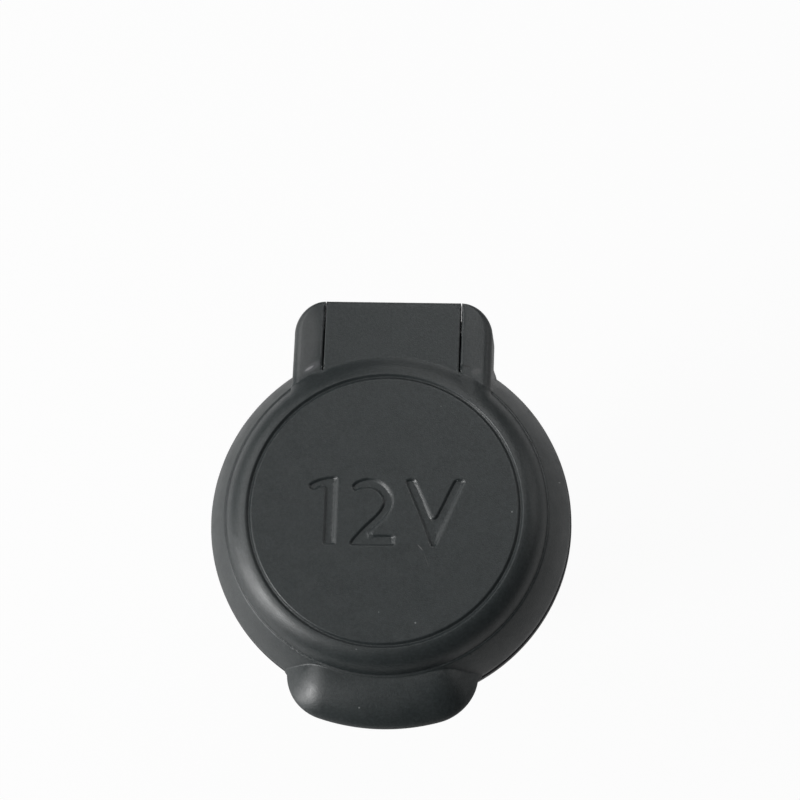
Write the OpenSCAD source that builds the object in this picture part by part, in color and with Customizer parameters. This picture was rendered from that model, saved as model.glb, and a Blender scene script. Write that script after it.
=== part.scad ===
// Twelve-volt power socket for a car's console, with a hinged dust lid.
// Sizes are in millimetres. The origin is on the socket's axis, in the plane where the
// flange sits on the panel. +Z points out of the panel, and the hinge is on the +Y side.

/* [Lid] */
// Room between the collar round the mouth and the inside of the dome
dome_room = 0.5; // [0.4:0.1:0.8]
// Height of the lid from the skirt's lower edge to the flat disc
lid_h = 6.6; // [6.2:0.1:7.4]
// How far the skirt flares out beyond the dome
skirt_w = 2.2; // [1.6:0.1:2.4]
// Upright rim at the skirt's lower edge
rim_h = 0.5; // [0.3:0.1:0.8]
// Radius of the dome's round shoulder
shoulder_r = 2.2; // [1.8:0.1:2.4]
// Flat land between the shoulder and the groove
land_w = 0.1; // [0.1:0.1:0.5]
// Width of the groove round the flat disc
groove_w = 0.55; // [0.4:0.05:0.8]
// Depth of the groove round the flat disc
groove_d = 0.25; // [0.2:0.05:0.6]
// Wall of the lid
lid_wall = 1.6; // [1.3:0.1:1.8]
// Gap between the closed lid and the flange
lid_gap = 0.3; // [0.25:0.05:0.4]
// Wall of the plug ring under the lid
plug_wall = 1.2; // [1:0.1:1.5]
// Clearance between the plug ring and the collar round the mouth
plug_clear = 0.3; // [0.25:0.05:0.4]
// Clearance between the plug ring and the barrel's lip below it
plug_lift = 0.3; // [0.2:0.05:0.5]
// Thickness of the ribs inside the lid
rib_t = 0.8; // [0.6:0.1:1.2]
// Number of ribs inside the lid
rib_count = 8; // [6:1:10]

/* [Thumb tab] */
// Width of the thumb tab
tab_w = 19.2; // [17:0.2:21]
// How far the tab's front edge stands out beyond the skirt
tab_out = 2.8; // [2.6:0.1:4]
// Radius of the tab's corners, seen from above
tab_corner_r = 4.9; // [4:0.1:6]
// Width of the band over which the tab's edge rounds down
tab_edge_w = 3.6; // [2.8:0.1:3.9]
// Half height of the tab's rounded edge
tab_edge_h = 2; // [1.6:0.1:2.4]
// How far the tab's top lies below the crease of the dome
tab_drop = 0.1; // [0:0.1:0.6]
// Clear height for a fingertip between the panel and the tab
tab_under = 2.9; // [2.4:0.1:3.2]

/* [Hinge] */
// Width over both cheeks
hinge_w = 20; // [19:0.2:21]
// Width of the tongue between the cheeks
tongue_w = 13.4; // [12.5:0.1:14]
// Width of the slit on each side of the tongue
slit_w = 0.2; // [0.15:0.05:0.4]
// How far the hinge plate's rear edge stands out beyond the skirt
hinge_out = 3.3; // [2.8:0.1:3.6]
// Depth of the hinge plate's top below the flat disc
plate_drop = 1.1; // [0.9:0.1:1.3]
// Thickness of the hinge plate
plate_t = 1.6; // [1.4:0.1:1.7]
// Radius of the hinge plate's rear corners
plate_corner_r = 3.2; // [2.4:0.2:4]
// Radius along the plate's upper side edges
plate_edge_r = 0.9; // [0.5:0.1:1.2]
// Distance from the hinge plate's rear edge to the pin's axis
axis_back = 2.7; // [2.6:0.1:2.8]
// Radius of the knuckle that the tongue turns round
knuckle_r = 1.75; // [1.65:0.05:1.8]
// Gap between the knuckle and the tongue above it
tongue_gap = 0.15; // [0.12:0.01:0.2]
// Gap between each cheek and the end of the knuckle
cheek_gap = 0.2; // [0.15:0.05:0.3]
// Radius of the hinge pin
pin_r = 0.8; // [0.6:0.05:0.9]
// Radial clearance of the pin in the knuckle
pin_clear = 0.05; // [0.03:0.01:0.08]
// Radial clearance of the pin in the cheeks that hold it
pin_hold = 0.02; // [0.01:0.01:0.03]
// Plastic left over the pin's blind end
pin_cap = 1.1; // [0.8:0.1:1.5]

/* [Bezel] */
// How far the flange stands out beyond the lid's skirt
flange_out = 0.1; // [0:0.1:1]
// Thickness of the flange
flange_t = 1.4; // [1.2:0.1:1.6]
// Edge round of the flange
flange_edge_r = 0.4; // [0.2:0.1:0.6]
// Wall of the sleeve that goes through the panel
sleeve_wall = 1.6; // [1.4:0.1:1.8]
// Length of the sleeve below the panel's face
sleeve_len = 24; // [22:0.5:28]
// Lead-in taper at the sleeve's lower end
sleeve_taper = 0.6; // [0.3:0.1:0.8]
// Radial clearance between the sleeve and the barrel
barrel_clear = 0.2; // [0.1:0.05:0.3]
// Height of the collar round the mouth, above the flange
collar_h = 1.5; // [1.2:0.1:1.6]
// Wall of the collar round the mouth
collar_wall = 1.35; // [1:0.05:1.4]
// Thickness of the panel that the snap fingers grip
panel_t = 2; // [1.5:0.1:3]
// Play of the panel under the snap fingers
panel_play = 0.2; // [0.1:0.05:0.3]
// Width of each snap finger
finger_w = 7; // [5:0.5:8]
// Closed height of the sleeve below the snap fingers
finger_foot = 8.8; // [7:0.2:10]
// Width of the slots that free the snap fingers
finger_slot = 0.9; // [0.7:0.1:1.2]
// Height of the snap fingers' hooks
hook_h = 1.2; // [0.8:0.1:1.5]
// Length of the hooks' sloping back
hook_len = 7; // [5:0.5:9]
// Width of the key rib that stops the sleeve from turning
key_w = 3; // [2:0.5:4]
// Height of the key rib above the sleeve
key_h = 1; // [0.8:0.1:1.5]
// Length of the key rib
key_len = 10; // [8:0.5:14]

/* [Barrel] */
// Inside radius of the barrel, which takes the plug
barrel_r = 10.5; // [10.47:0.01:10.55]
// Sheet thickness of the barrel
sheet_t = 0.7; // [0.6:0.05:0.8]
// Width of the barrel's lip beyond its wall
lip_w = 1.2; // [1:0.1:1.3]
// Clearance round and under the lip in its seat
lip_clear = 0.05; // [0.02:0.01:0.1]
// Bend radius of the mouth
mouth_r = 1; // [0.7:0.1:1.3]
// Depth of the plug's bore below the panel's face
bore_depth = 32; // [31:0.5:36]
// Depth of the narrower part of the barrel, from the plug's bore to the floor
foot_h = 5; // [4.5:0.1:8]
// How much narrower the barrel is at its floor
foot_step = 1.3; // [1:0.1:1.5]
// Width of each spring tongue that latches in the sleeve
latch_w = 5.4; // [4:0.2:6]
// Length of each spring tongue
latch_len = 3.8; // [3.2:0.1:4.5]
// Angle at which the spring tongues stand out
latch_angle = 15; // [12:1:17]
// Height of the latching edge above the sleeve's lower end
latch_foot = 8; // [7:0.2:9]
// Clear space round a spring tongue
latch_clear = 0.4; // [0.3:0.05:0.6]

/* [Contacts] */
// Thickness of the insulator on the barrel's floor
insulator_t = 0.8; // [0.6:0.1:1.2]
// Room between the insulator and the ground rivet's head
insulator_room = 0.5; // [0.3:0.05:0.8]
// Radius of the hole that the insulator fills in the floor, as a share of the insulator's
boss_share = 0.65; // [0.6:0.01:0.7]
// Thickness of the contact's sheet
contact_t = 0.4; // [0.3:0.05:0.5]
// How far the insulator stands out beyond the contact's base
contact_in = 0.5; // [0.4:0.1:0.8]
// Height of the contact's button above its base
contact_h = 2.4; // [2.2:0.1:2.6]
// Radius of the contact's button, as a share of its base's
button_share = 0.7; // [0.68:0.01:0.75]
// Width of each of the contact's spring legs
leg_w = 1.6; // [1.2:0.1:1.8]
// Shank radius of the centre rivet, as a share of the contact's base
rivet_share = 0.38; // [0.32:0.01:0.4]
// Head radius of the centre rivet, as a share of the contact's base
rivet_head_share = 0.58; // [0.54:0.01:0.6]
// Head height of the rivets
rivet_head_h = 0.8; // [0.6:0.1:0.9]
// Head radius of the ground rivet, as a share of the barrel's floor
ground_head_share = 0.217; // [0.19:0.001:0.22]
// Shank radius of the ground rivet, as a share of its head
ground_share = 0.6; // [0.5:0.01:0.7]
// Room between the ground rivet's head and the barrel's wall
ground_room = 0.1; // [0.05:0.05:0.2]
// Clearance of the rivets in the pieces that they hold
rivet_clear = 0.05; // [0.02:0.01:0.08]

/* [Connector] */
// Thickness of the connector body's base
base_t = 2.4; // [2:0.1:3]
// How far the shroud reaches beyond the blades' tips
blade_guard = 2; // [1.5:0.1:4]
// Wall of the shroud
shroud_wall = 1.2; // [1:0.1:1.4]
// Room between the positive blade and the shroud
blade_side = 2; // [1.6:0.1:2.5]
// Room between each edge of the blades and the shroud
blade_edge = 1.15; // [0.9:0.05:1.5]
// Thickness of the blade terminals
blade_t = 0.8; // [0.7:0.05:0.9]
// Width of the blade terminals
blade_w = 6.3; // [6:0.1:6.4]
// Length of the blade terminals below the base
blade_len = 10.9; // [9:0.1:12]
// Radius of the hole near each blade's tip
blade_hole_r = 0.85; // [0.6:0.05:1]
// Room between the negative blade and the ground rivet's head
blade_room = 0.5; // [0.4:0.05:0.6]
// Height of the latch nose on the shroud
nose_h = 1.2; // [0.8:0.1:1.5]

/* [Hidden] */
$fn = 96;
eps = 0.01;
cut = 1;

// Radii of the barrel and of the sleeve round it
barrel_out_r = barrel_r + sheet_t;
sleeve_in_r = barrel_out_r + barrel_clear;
sleeve_r = sleeve_in_r + sleeve_wall;
lip_r = barrel_out_r + lip_w;
seat_r = lip_r + lip_clear;
collar_out_r = seat_r + collar_wall;

// Levels and radii of the lid, which covers the collar
skirt_z = flange_t + lid_gap;
disc_z = skirt_z + lid_h;
crease_z = disc_z - shoulder_r;
cavity_r = collar_out_r + dome_room;
dome_r = cavity_r + lid_wall;
lid_r = dome_r + skirt_w;
groove_out_r = dome_r - shoulder_r - land_w;
groove_in_r = groove_out_r - groove_w;
roof_z = disc_z - lid_wall;
hinge_reach = lid_r + hinge_out;
tab_reach = lid_r + tab_out;
flange_r = lid_r + flange_out;

// Levels of the bezel and the barrel
seat_z = flange_t - sheet_t - 2 * lip_clear - 0.3;
lip_z = seat_z + lip_clear;
lip_top_z = lip_z + sheet_t;
collar_top_z = flange_t + collar_h;
plug_r = seat_r - plug_clear;
plug_z = lip_top_z + plug_lift;
floor_z = -bore_depth - foot_h;
floor_under_z = floor_z - sheet_t;
foot_r = barrel_r - foot_step;
hook_z = -panel_t - panel_play;
finger_root_z = -sleeve_len + finger_foot;
latch_z = -sleeve_len + latch_foot;

// Hinge
plate_z = disc_z - plate_drop;
plate_under_z = plate_z - plate_t;
axis_y = hinge_reach - axis_back;
axis_z = plate_under_z - tongue_gap - knuckle_r;
cheek_in = tongue_w / 2 + slit_w;
cheek_r = axis_z - skirt_z;
cheek_rear = 0.85 * cheek_r;
knuckle_w = 2 * (cheek_in - cheek_gap);
lug_rear_y = axis_y + 0.45 * cheek_r;
lug_w = hinge_w - 0.8;
notch_y = plug_r + 0.45;
pin_left = -hinge_w / 2 + 0.2;
pin_right = hinge_w / 2 - pin_cap - 0.1;

// Tab
tab_z = crease_z - tab_drop - tab_edge_h;
tab_side = tab_w / 2 - tab_corner_r;
tab_arc_r = tab_reach - tab_corner_r;
tab_turn = asin(tab_side / tab_arc_r);

// Contacts and connector
ground_head_r = ground_head_share * foot_r;
ground_rivet_r = ground_share * ground_head_r;
ground_x = foot_r - ground_room - ground_head_r;
insulator_r = ground_x - ground_head_r - insulator_room;
insulator_boss_r = boss_share * insulator_r;
contact_r = insulator_r - contact_in;
button_r = button_share * contact_r;
rivet_r = rivet_share * contact_r;
rivet_head_r = rivet_head_share * contact_r;
insulator_z = floor_z + insulator_t;
contact_z = insulator_z + contact_t;
base_under_z = floor_under_z - base_t;
foot_under_z = base_under_z - blade_t;
tip_z = base_under_z - blade_len;
shroud_h = blade_len + blade_guard;
shroud_z = base_under_z - shroud_h;
blade_x = ground_x - ground_head_r - blade_room - blade_t / 2;
foot_far_x = ground_x + ground_head_r + ground_room;
shroud_high_x = blade_x + blade_t / 2 + blade_side;
shroud_w = foot_far_x + shroud_high_x;
shroud_x = shroud_high_x - shroud_w / 2;
shroud_d = blade_w + 2 * blade_edge;
nose_z = shroud_z + shroud_h / 4;
nose_w = shroud_w / 4;

// A solid of revolution about the socket's axis, from a profile of radius and height.
module turned() {
    rotate_extrude() children();
}

// A bar along X with the given side view of Y and Z, from one X to another.
module side_bar(from_x, to_x) {
    translate([from_x, 0, 0])
        rotate([90, 0, 90])
            linear_extrude(to_x - from_x) children();
}

// A square from one corner to the opposite one.
module box2(low, high) {
    translate(low) square(high - low);
}

// A cuboid from one corner to the opposite one.
module box3(low, high) {
    translate(low) cube(high - low);
}

// The lid's outer form: disc, groove, round shoulder, crease and flared skirt.
module lid_outer_profile() {
    difference() {
        union() {
            box2([0, skirt_z], [dome_r - shoulder_r, disc_z]);
            box2([0, skirt_z], [dome_r, crease_z]);
            translate([dome_r - shoulder_r, crease_z]) circle(shoulder_r);
            polygon([
                [0, skirt_z], [lid_r, skirt_z], [lid_r, skirt_z + rim_h],
                [dome_r, crease_z], [0, crease_z]
            ]);
        }
        box2([groove_in_r, disc_z - groove_d], [groove_out_r, disc_z + cut]);
        box2([-shoulder_r, 0], [0, disc_z + cut]);
    }
}

// The hollow under the lid, which follows the dome and the skirt.
module lid_cavity_profile() {
    box2([0, 0], [cavity_r, roof_z]);
    polygon([
        [0, skirt_z - eps], [lid_r - lid_wall, skirt_z - eps],
        [cavity_r, crease_z - lid_wall / 2], [0, crease_z - lid_wall / 2]
    ]);
}

// The plug ring that enters the collar, with a small bead that grips it.
module lid_plug_profile() {
    box2([plug_r - plug_wall, plug_z], [plug_r, roof_z + eps]);
    translate([plug_r - plug_clear / 3, plug_z + plug_wall / 2]) circle(plug_clear * 0.8, $fn = 32);
}

// The flat plate behind the dome, with rounded side edges and rear corners.
module hinge_plate() {
    intersection() {
        translate([0, hinge_reach, 0])
            rotate([90, 0, 0])
                linear_extrude(hinge_reach)
                    union() {
                        box2([-hinge_w / 2, plate_under_z], [hinge_w / 2, plate_z - plate_edge_r]);
                        translate([-hinge_w / 2 + plate_edge_r, plate_under_z])
                            square([hinge_w - 2 * plate_edge_r, plate_t]);
                        for (side = [-1, 1])
                            translate([side * (hinge_w / 2 - plate_edge_r), plate_z - plate_edge_r])
                                circle(plate_edge_r);
                    }
        linear_extrude(disc_z)
            union() {
                box2([-hinge_w / 2, 0], [hinge_w / 2, hinge_reach - plate_corner_r]);
                box2([-hinge_w / 2 + plate_corner_r, 0], [hinge_w / 2 - plate_corner_r, hinge_reach]);
                for (side = [-1, 1])
                    translate([side * (hinge_w / 2 - plate_corner_r), hinge_reach - plate_corner_r])
                        circle(plate_corner_r);
            }
    }
}

// Side view of a cheek, round about the pin so that it clears the flange as it swings.
module cheek_side() {
    translate([axis_y, axis_z]) circle(cheek_r);
    box2([cavity_r / 2, skirt_z], [axis_y, plate_under_z + eps]);
    box2([axis_y, axis_z + 0.55 * cheek_r], [axis_y + cheek_rear, plate_under_z + eps]);
    box2([axis_y, axis_z], [axis_y + 0.8 * cheek_r, axis_z + 0.6 * cheek_r]);
}

module cheeks() {
    side_bar(-hinge_w / 2, -cheek_in) cheek_side();
    side_bar(cheek_in, hinge_w / 2) cheek_side();
}

// The rounded thumb tab, flat underneath, whose front edge runs round the lid's axis.
module thumb_tab() {
    difference() {
        hull() {
            for (side = [-1, 1])
                translate([side * tab_side, -dome_r + tab_corner_r, tab_z]) tab_corner();
            for (turn = [-1, -0.5, 0, 0.5, 1])
                rotate([0, 0, turn * tab_turn])
                    translate([0, -tab_arc_r, tab_z]) tab_corner();
        }
        box3([-tab_w, -tab_reach - cut, 0], [tab_w, 0, tab_under]);
    }
}

module tab_corner() {
    rotate_extrude($fn = 48)
        intersection() {
            union() {
                translate([tab_corner_r - tab_edge_w, 0])
                    scale([tab_edge_w, tab_edge_h]) circle(1, $fn = 32);
                box2([0, -tab_edge_h], [tab_corner_r - tab_edge_w, tab_edge_h]);
            }
            box2([0, -tab_edge_h], [tab_corner_r, tab_edge_h]);
        }
}

module lid_ribs() {
    intersection() {
        for (i = [0:rib_count - 1])
            rotate([0, 0, (i + 0.5) * 360 / rib_count])
                translate([0, -rib_t / 2, collar_top_z + rib_t / 2])
                    cube([dome_r, rib_t, roof_z - collar_top_z]);
        turned() box2([plug_r - plug_wall / 2, 0], [cavity_r + lid_wall / 2, roof_z + eps]);
    }
}

// One moulding: dome, skirt, thumb tab, plug ring, two cheeks and the tongue between them.
module lid() {
    color([0.2, 0.21, 0.21])
        difference() {
            union() {
                difference() {
                    union() {
                        turned() lid_outer_profile();
                        hinge_plate();
                        cheeks();
                        thumb_tab();
                    }
                    turned() lid_cavity_profile();
                }
                turned() lid_plug_profile();
                lid_ribs();
            }
            box3([-cheek_in, notch_y, 0], [cheek_in, hinge_reach + cut, plate_under_z]);
            for (side = [-1, 1])
                translate([side * (cheek_in - slit_w / 2), 0, 0])
                    translate([-slit_w / 2, cavity_r - slit_w, plate_under_z - eps])
                        cube([slit_w, hinge_reach, plate_t + cut]);
            translate([-hinge_w / 2 - cut, axis_y, axis_z])
                rotate([0, 90, 0]) cylinder(r = pin_r + pin_hold, h = hinge_w - pin_cap + cut);
        }
}

module hinge_pin() {
    color("silver")
        translate([pin_left, axis_y, axis_z])
            rotate([0, 90, 0]) cylinder(r = pin_r, h = pin_right - pin_left);
}

module bezel_profile() {
    difference() {
        union() {
            box2([0, 0], [flange_r - flange_edge_r, flange_t]);
            box2([0, 0], [flange_r, flange_t - flange_edge_r]);
            translate([flange_r - flange_edge_r, flange_t - flange_edge_r]) circle(flange_edge_r, $fn = 48);
            box2([0, 0], [collar_out_r, collar_top_z]);
            box2([0, -sleeve_len + 2 * sleeve_taper], [sleeve_r, 0]);
            polygon([
                [0, -sleeve_len], [sleeve_r - sleeve_taper, -sleeve_len],
                [sleeve_r, -sleeve_len + 2 * sleeve_taper], [0, -sleeve_len + 2 * sleeve_taper]
            ]);
        }
        box2([-1, -sleeve_len - cut], [sleeve_in_r, collar_top_z + cut]);
        box2([-1, seat_z], [seat_r, collar_top_z + cut]);
    }
}

// Side view of the hook on a snap finger, as a ring that is then cut to the finger's width.
module hook_profile() {
    polygon([
        [sleeve_r - 0.2, hook_z], [sleeve_r + hook_h, hook_z],
        [sleeve_r + hook_h, hook_z - 0.8], [sleeve_r - 0.2, hook_z - hook_len]
    ]);
}

// A slot on each side of a snap finger and one over its tip.
module finger_slots() {
    slot_h = hook_z + finger_slot - finger_root_z;
    slot_x = sleeve_in_r * 0.75;
    slot_reach = sleeve_r + cut - slot_x;
    for (edge = [-1, 1])
        translate([slot_x, (edge * (finger_w + finger_slot) - finger_slot) / 2, finger_root_z])
            cube([slot_reach, finger_slot, slot_h]);
    translate([slot_x, -finger_w / 2 - finger_slot, hook_z])
        cube([slot_reach, finger_w + 2 * finger_slot, finger_slot]);
}

// Knuckle and web that carry the pin between the lid's cheeks.
module knuckle() {
    side_bar(-knuckle_w / 2, knuckle_w / 2)
        difference() {
            union() {
                translate([axis_y, axis_z]) circle(knuckle_r);
                box2([axis_y - knuckle_r, flange_t - eps], [lug_rear_y, axis_z]);
            }
            translate([axis_y, axis_z]) circle(pin_r + pin_clear);
        }
}

// One moulding: flange, collar, hinge knuckle, and the sleeve with its snap fingers and key.
module bezel() {
    color([0.12, 0.12, 0.13]) {
        difference() {
            union() {
                turned() bezel_profile();
                difference() {
                    box3([-lug_w / 2, 0, 0], [lug_w / 2, lug_rear_y, flange_t]);
                    translate([0, 0, -cut]) cylinder(r = seat_r + collar_wall / 2, h = flange_t + 2 * cut);
                }
                difference() {
                    box3([-key_w / 2, -sleeve_r - key_h, -key_len], [key_w / 2, 0, eps]);
                    translate([0, 0, -key_len - cut])
                        cylinder(r = (sleeve_in_r + sleeve_r) / 2, h = key_len + 2 * cut);
                }
            }
            for (turn = [0, 180])
                rotate([0, 0, turn]) finger_slots();
            for (turn = [90, 270])
                rotate([0, 0, turn])
                    translate([0, -latch_w / 2 - latch_clear, latch_z - latch_len - latch_clear])
                        cube([sleeve_r + cut, latch_w + 2 * latch_clear, latch_len + latch_clear]);
        }
        for (turn = [0, 180])
            rotate([0, 0, turn])
                intersection() {
                    turned() hook_profile();
                    translate([0, -finger_w / 2, hook_z - hook_len])
                        cube([sleeve_r + hook_h + cut, finger_w, hook_len]);
                }
        knuckle();
    }
}

// The drawn sheet-metal cup: flat lip, rounded mouth, plug bore and a narrower foot.
module barrel_profile() {
    step_z = -bore_depth - (barrel_r - foot_r);
    difference() {
        union() {
            box2([0, lip_z], [lip_r, lip_top_z]);
            box2([0, -bore_depth - sheet_t / 2], [barrel_out_r, lip_top_z]);
            polygon([
                [0, -bore_depth - sheet_t / 2], [barrel_out_r, -bore_depth - sheet_t / 2],
                [foot_r + sheet_t, step_z - sheet_t / 2], [foot_r + sheet_t, floor_under_z],
                [0, floor_under_z]
            ]);
        }
        box2([-1, -bore_depth], [barrel_r, lip_top_z + cut]);
        polygon([
            [-1, -bore_depth], [barrel_r, -bore_depth], [foot_r, step_z], [foot_r, floor_z], [-1, floor_z]
        ]);
        difference() {
            box2([barrel_r - eps, lip_top_z - mouth_r], [barrel_r + mouth_r, lip_top_z + cut]);
            translate([barrel_r + mouth_r, lip_top_z - mouth_r]) circle(mouth_r);
        }
    }
}

// A spring tongue bent out of the barrel's wall, which catches the edge of the sleeve's window.
module latch_tongue() {
    translate([0, barrel_r, latch_z - latch_len])
        rotate([-latch_angle, 0, 0])
            box3([-latch_w / 2, 0, 0], [latch_w / 2, sheet_t, latch_len - latch_clear]);
}

module socket_barrel() {
    color([0.78, 0.78, 0.76]) {
        difference() {
            turned() barrel_profile();
            for (turn = [0, 180])
                rotate([0, 0, turn])
                    translate([-latch_w / 2 - latch_clear, barrel_r / 2, latch_z - latch_len + eps])
                        cube([latch_w + 2 * latch_clear, barrel_r, latch_len + latch_clear - eps]);
            translate([0, 0, floor_under_z - cut])
                cylinder(r = insulator_boss_r + rivet_clear, h = sheet_t + 2 * cut);
            translate([-ground_x, 0, floor_under_z - cut])
                cylinder(r = ground_rivet_r + rivet_clear, h = sheet_t + 2 * cut);
        }
        for (turn = [0, 180])
            rotate([0, 0, turn]) latch_tongue();
    }
}

// Insulating washer whose boss fills the hole in the barrel's floor.
module inner_insulator() {
    color([0.45, 0.28, 0.16])
        turned()
            difference() {
                union() {
                    box2([0, floor_z], [insulator_r, insulator_z]);
                    box2([0, floor_under_z], [insulator_boss_r, insulator_z]);
                }
                box2([-1, floor_under_z - cut], [rivet_r + rivet_clear, insulator_z + cut]);
            }
}

// Sprung brass contact: base washer, three rising legs and a button for the plug's tip.
module centre_contact() {
    leg_run = contact_r - contact_t - button_r + leg_w / 2;
    color([0.8, 0.65, 0.3]) {
        turned() box2([rivet_r + rivet_clear, insulator_z], [contact_r, contact_z]);
        for (i = [0:2])
            rotate([0, 0, i * 120 + 90])
                rotate([90, 0, 0])
                    translate([0, 0, -leg_w / 2])
                        linear_extrude(leg_w)
                            polygon([
                                [contact_r, insulator_z], [contact_r, contact_z],
                                [contact_r - leg_run + contact_t, contact_z + contact_h],
                                [contact_r - leg_run - contact_t / 2, contact_z + contact_h],
                                [contact_r - 1.5 * contact_t, contact_z - eps],
                                [contact_r - 1.5 * contact_t, insulator_z]
                            ]);
        turned()
            difference() {
                box2([0, contact_z + contact_h - contact_t], [button_r, contact_z + contact_h]);
                box2([-1, contact_z], [rivet_r / 2, contact_z + contact_h + cut]);
            }
    }
}

module centre_rivet() {
    color([0.82, 0.7, 0.4])
        turned() {
            box2([0, foot_under_z - rivet_head_h], [rivet_r, contact_z + rivet_head_h]);
            box2([0, contact_z], [rivet_head_r, contact_z + rivet_head_h]);
            box2([0, foot_under_z - rivet_head_h], [rivet_head_r, foot_under_z]);
        }
}

module ground_rivet() {
    color([0.75, 0.75, 0.75])
        translate([-ground_x, 0, 0])
            turned() {
                box2([0, foot_under_z - rivet_head_h], [ground_rivet_r, floor_z + rivet_head_h]);
                box2([0, floor_z], [ground_head_r, floor_z + rivet_head_h]);
                box2([0, foot_under_z - rivet_head_h], [ground_head_r, foot_under_z]);
            }
}

// Moulded base that insulates the rivets, with the shroud that the car's connector enters.
module connector_body() {
    low = [shroud_x - shroud_w / 2, -shroud_d / 2];
    high = [shroud_x + shroud_w / 2, shroud_d / 2];
    wall = [shroud_wall, shroud_wall];
    color([0.85, 0.84, 0.8])
        difference() {
            union() {
                translate([0, 0, base_under_z]) cylinder(r = foot_r + sheet_t, h = base_t);
                translate([0, 0, shroud_z]) linear_extrude(shroud_h + base_t) box2(low - wall, high + wall);
                side_bar(shroud_x - nose_w / 2, shroud_x + nose_w / 2)
                    polygon([
                        [high[1], nose_z], [high[1] + shroud_wall, nose_z],
                        [high[1] + shroud_wall + nose_h, nose_z + 1.6 * nose_h],
                        [high[1] + shroud_wall + nose_h, nose_z + 2.4 * nose_h],
                        [high[1], nose_z + 2.4 * nose_h]
                    ]);
            }
            translate([0, 0, shroud_z - cut]) linear_extrude(shroud_h + cut) box2(low, high);
            translate([0, 0, base_under_z - cut])
                cylinder(r = rivet_r + rivet_clear, h = base_t + 2 * cut);
            translate([-ground_x, 0, base_under_z - cut])
                cylinder(r = ground_rivet_r + rivet_clear, h = base_t + 2 * cut);
        }
}

// A blade terminal: a foot under the base with a rivet hole, bent down into a pointed blade.
module terminal(foot_low_x, foot_high_x, blade_low_x, rivet_x, hole_r) {
    tip = blade_w / 5;
    color([0.8, 0.8, 0.78])
        difference() {
            union() {
                box3([foot_low_x, -blade_w / 2, foot_under_z], [foot_high_x, blade_w / 2, base_under_z]);
                side_bar(blade_low_x, blade_low_x + blade_t)
                    polygon([
                        [-blade_w / 2, base_under_z], [-blade_w / 2, tip_z + tip],
                        [-blade_w / 2 + tip / 2, tip_z], [blade_w / 2 - tip / 2, tip_z],
                        [blade_w / 2, tip_z + tip], [blade_w / 2, base_under_z]
                    ]);
            }
            translate([rivet_x, 0, foot_under_z - cut]) cylinder(r = hole_r, h = blade_t + 2 * cut);
            translate([blade_low_x - cut, 0, tip_z + blade_w / 2])
                rotate([0, 90, 0]) cylinder(r = blade_hole_r, h = blade_t + 2 * cut);
        }
}

module positive_terminal() {
    terminal(-rivet_head_r - 0.3, blade_x + blade_t / 2, blade_x - blade_t / 2, 0, rivet_r + rivet_clear);
}

module negative_terminal() {
    terminal(
        -foot_far_x, -blade_x + blade_t / 2, -blade_x - blade_t / 2, -ground_x,
        ground_rivet_r + rivet_clear
    );
}

lid();
hinge_pin();
bezel();
socket_barrel();
inner_insulator();
centre_contact();
centre_rivet();
connector_body();
positive_terminal();
negative_terminal();
ground_rivet();
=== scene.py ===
"""A car's 12 V power socket with a hinged dust lid, dressed for rendering.

Lengths are written in millimetres and become metres where a mesh is made. The frame is
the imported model's: Z along the plug's bore, and the lid's hinge toward +Y.
"""

import math

import bmesh
import bpy
import numpy as np
from mathutils import Matrix, Vector
from mathutils.geometry import delaunay_2d_cdt


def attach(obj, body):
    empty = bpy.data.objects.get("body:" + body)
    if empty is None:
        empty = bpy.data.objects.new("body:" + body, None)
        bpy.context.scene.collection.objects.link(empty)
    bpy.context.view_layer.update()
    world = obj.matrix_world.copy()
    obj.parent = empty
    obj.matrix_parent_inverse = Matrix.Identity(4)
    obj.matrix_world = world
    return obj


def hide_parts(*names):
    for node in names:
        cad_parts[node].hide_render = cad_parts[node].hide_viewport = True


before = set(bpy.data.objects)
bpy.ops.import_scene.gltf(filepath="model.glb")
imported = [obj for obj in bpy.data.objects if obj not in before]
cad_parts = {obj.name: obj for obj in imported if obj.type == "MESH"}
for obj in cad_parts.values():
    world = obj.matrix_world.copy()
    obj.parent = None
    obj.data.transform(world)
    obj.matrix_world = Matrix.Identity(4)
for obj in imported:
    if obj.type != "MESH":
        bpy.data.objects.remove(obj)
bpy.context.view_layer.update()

MM = 0.001
TURN = 2 * math.pi

# Lid, as in the part's source
LID_R = 18.1
DOME_R = 15.9
DISC_Z = 8.3
SKIRT_Z = 1.7
RIM_H = 0.5
RIM_Z = SKIRT_Z + RIM_H
SHOULDER_R = 2.2
CREASE_Z = DISC_Z - SHOULDER_R
LID_WALL = 1.6
CAVITY_R = DOME_R - LID_WALL
ROOF_Z = DISC_Z - LID_WALL
GROOVE_OUT_R = 13.6
GROOVE_IN_R = 13.05
GROOVE_D = 0.22
# Share of the way across the shoulder, and its fall there in degrees
SHOULDER_AT = (0, 0.15, 0.35, 0.55, 0.8, 1)
SHOULDER_TILT = (10, 20, 30, 38, 55, 67)
SHOULDER_IN_R = 13.72
SHOULDER_W = 2.17
SHOULDER_FALL = 2.14
CREASE_R = 15.98
CREASE_EDGE_R = 0.2
ROUND_STEPS = 432
# Plate and tab begin this far behind and before the middle
NEAR_Y = 8
PLUG_R = 12.15
PLUG_WALL = 1.2
PLUG_Z = 1.35

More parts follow.
